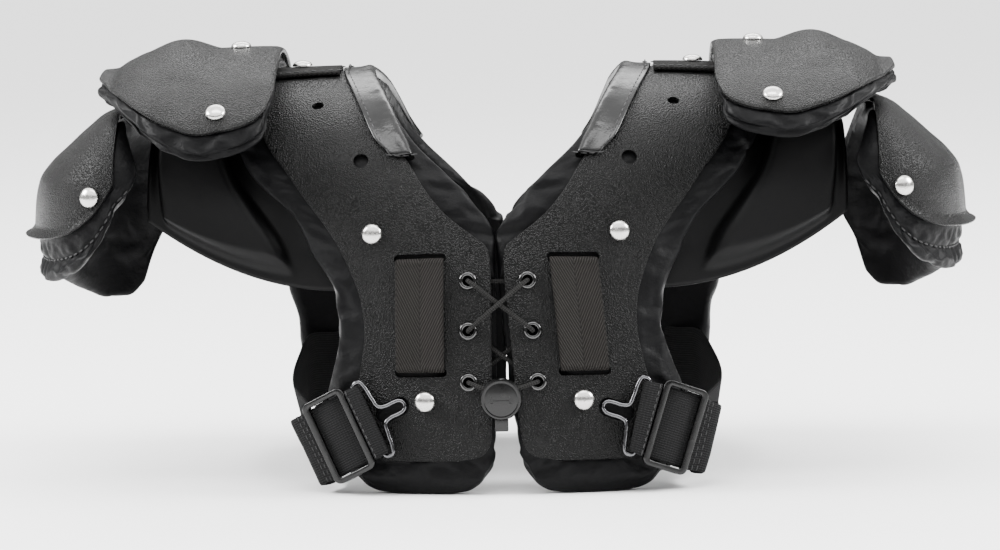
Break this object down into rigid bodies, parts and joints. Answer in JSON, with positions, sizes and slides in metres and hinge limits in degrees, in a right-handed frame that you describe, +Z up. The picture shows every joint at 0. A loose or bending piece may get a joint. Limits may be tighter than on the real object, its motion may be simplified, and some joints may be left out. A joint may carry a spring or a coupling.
{
  "type": "football shoulder pads",
  "caption": "Youth football shoulder pads: laced plastic arches over foam pads, with shoulder caps, hanging cups and buckled side belts.",
  "frame": {"origin": "on the floor, midway between the padded feet of chest and back, on the centre line", "axes": "+Z up, -Y the way the chest faces, +X the wearer's left"},
  "size_m": [0.5028, 0.2309, 0.2289],
  "materials": {
    "grained_plastic": "moulded, fine grain, satin",
    "nylon_pad": "woven nylon over foam",
    "moulded_foam": "smooth moulded foam",
    "vinyl_binding": "glossy vinyl",
    "webbing": "woven webbing",
    "elastic": "woven elastic",
    "smooth_plastic": "smooth",
    "black_wire": "blackened wire",
    "nickel": "polished nickel",
    "chrome_ring": "bright",
    "lace_cord": "braided cord"
  },
  "bodies": {
    "root": {"arch_plate_l": "grained_plastic", "arch_plate_r": "grained_plastic", "back_lace": "lace_cord", "belt_l": "elastic", "belt_r": "elastic", "body_pad_l": "nylon_pad", "body_pad_r": "nylon_pad", "buckle_l": "smooth_plastic", "buckle_r": "smooth_plastic", "cap_pad_l": "nylon_pad", "cap_pad_r": "nylon_pad", "cap_plate_l": "grained_plastic", "cap_plate_r": "grained_plastic", "chest_lace": "lace_cord", "chest_web_l": "webbing", "chest_web_r": "webbing", "cup_pad_l": "nylon_pad", "cup_pad_r": "nylon_pad", "cup_plate_l": "grained_plastic", "cup_plate_r": "grained_plastic", "eyelet_back_1_l": "chrome_ring", "eyelet_back_1_r": "chrome_ring", "eyelet_back_2_l": "chrome_ring", "eyelet_back_2_r": "chrome_ring", "eyelet_chest_1_l": "chrome_ring", "eyelet_chest_1_r": "chrome_ring", "eyelet_chest_2_l": "chrome_ring", "eyelet_chest_2_r": "chrome_ring", "eyelet_chest_3_l": "chrome_ring", "eyelet_chest_3_r": "chrome_ring", "lace_disc": "smooth_plastic", "neck_binding_l": "vinyl_binding", "neck_binding_r": "vinyl_binding", "rivet_back_lower_l": "nickel", "rivet_back_lower_r": "nickel", "rivet_back_upper_l": "nickel", "rivet_back_upper_r": "nickel", "rivet_cap_back_l": "nickel", "rivet_cap_back_r": "nickel", "rivet_cap_front_l": "nickel", "rivet_cap_front_r": "nickel", "rivet_cap_top_l": "nickel", "rivet_cap_top_r": "nickel", "rivet_chest_lower_l": "nickel", "rivet_chest_lower_r": "nickel", "rivet_chest_upper_l": "nickel", "rivet_chest_upper_r": "nickel", "rivet_cup_back_l": "nickel", "rivet_cup_back_r": "nickel", "rivet_cup_front_l": "nickel", "rivet_cup_front_r": "nickel", "rivet_strap_l": "nickel", "rivet_strap_r": "nickel", "saddle_pad_l": "moulded_foam", "saddle_pad_r": "moulded_foam", "shoulder_strap_l": "webbing", "shoulder_strap_r": "webbing", "wire_hook_l": "black_wire", "wire_hook_r": "black_wire"}
  },
  "joints": []
}
